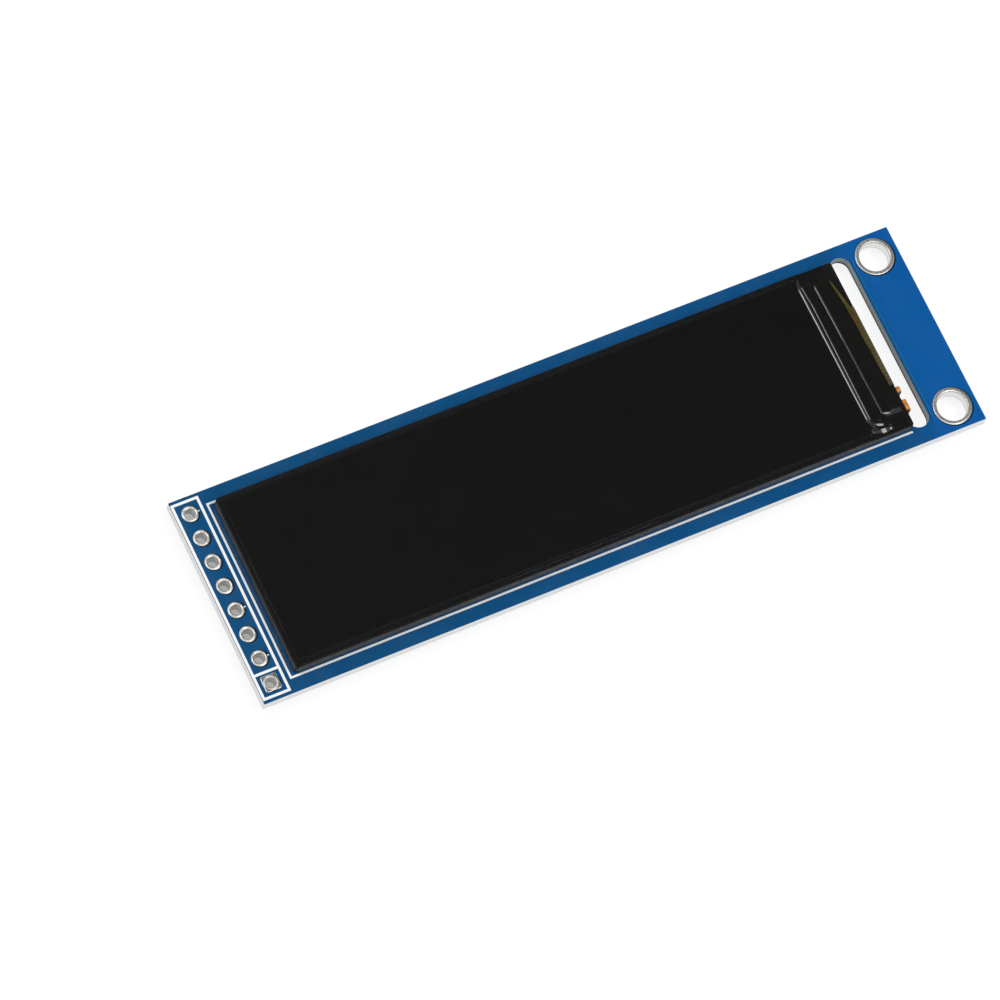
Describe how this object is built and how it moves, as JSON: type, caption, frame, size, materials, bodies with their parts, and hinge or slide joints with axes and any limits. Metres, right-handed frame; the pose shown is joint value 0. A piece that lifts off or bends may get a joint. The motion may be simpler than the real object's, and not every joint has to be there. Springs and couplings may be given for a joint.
{
  "type": "tft lcd module",
  "caption": "Long narrow colour display panel on a blue circuit board, with a flex cable folded through a slot, a row of plated header holes at one end and mounting holes at the other.",
  "frame": {"origin": "under the middle of the board, on the surface that the module lies on", "axes": "+X from the header end to the mounting-hole end, +Z out of the viewing side"},
  "size_m": [0.075, 0.0212, 0.0039],
  "materials": {
    "solder_mask": "glossy blue solder mask over laminate",
    "tin_plating": "bright tinned copper",
    "print_white": "printed white ink",
    "adhesive_white": "double-sided adhesive sheet",
    "frame_plastic": "dark grey moulded plastic",
    "reflector_film": "white reflective film",
    "guide_acrylic": "clear moulded acrylic",
    "optical_film": "milky optical film",
    "lamp_resin": "white lamp body with yellow phosphor",
    "lamp_polyimide": "orange polyimide",
    "black_adhesive": "black adhesive tape",
    "polarizer_film": "near-black polarizing film, satin gloss",
    "panel_glass": "thin display glass, dark with its coatings",
    "silicon": "bare silicon",
    "cover_tape": "thin black tape, slightly glossy",
    "cable_polyimide": "amber polyimide cable",
    "mould_compound": "black moulding compound",
    "capacitor_ceramic": "tan fired ceramic",
    "resistor_coat": "black glass coat on ceramic"
  },
  "bodies": {
    "root": {"printed_circuit_board": "solder_mask", "header_pads": "tin_plating", "mounting_hole_rings": "tin_plating", "silkscreen_front": "print_white", "mounting_tape": "adhesive_white", "backlight_frame": "frame_plastic", "reflector_sheet": "reflector_film", "light_guide_plate": "guide_acrylic", "diffuser_film": "optical_film", "lower_prism_film": "optical_film", "upper_prism_film": "optical_film", "backlight_leds": "lamp_resin", "led_flex_strip": "lamp_polyimide", "rim_tape": "black_adhesive", "rear_polarizer": "polarizer_film", "tft_glass": "panel_glass", "colour_filter_glass": "panel_glass", "front_polarizer": "polarizer_film", "driver_chip": "silicon", "ledge_cover_tape": "cover_tape", "flex_cable": "cable_polyimide", "flex_solder_joints": "tin_plating", "solder_lands": "tin_plating", "regulator_body": "mould_compound", "regulator_leads": "tin_plating", "transistor_body": "mould_compound", "transistor_leads": "tin_plating", "capacitor_bodies": "capacitor_ceramic", "capacitor_terminals": "tin_plating", "resistor_bodies": "resistor_coat", "resistor_terminals": "tin_plating"}
  },
  "joints": []
}
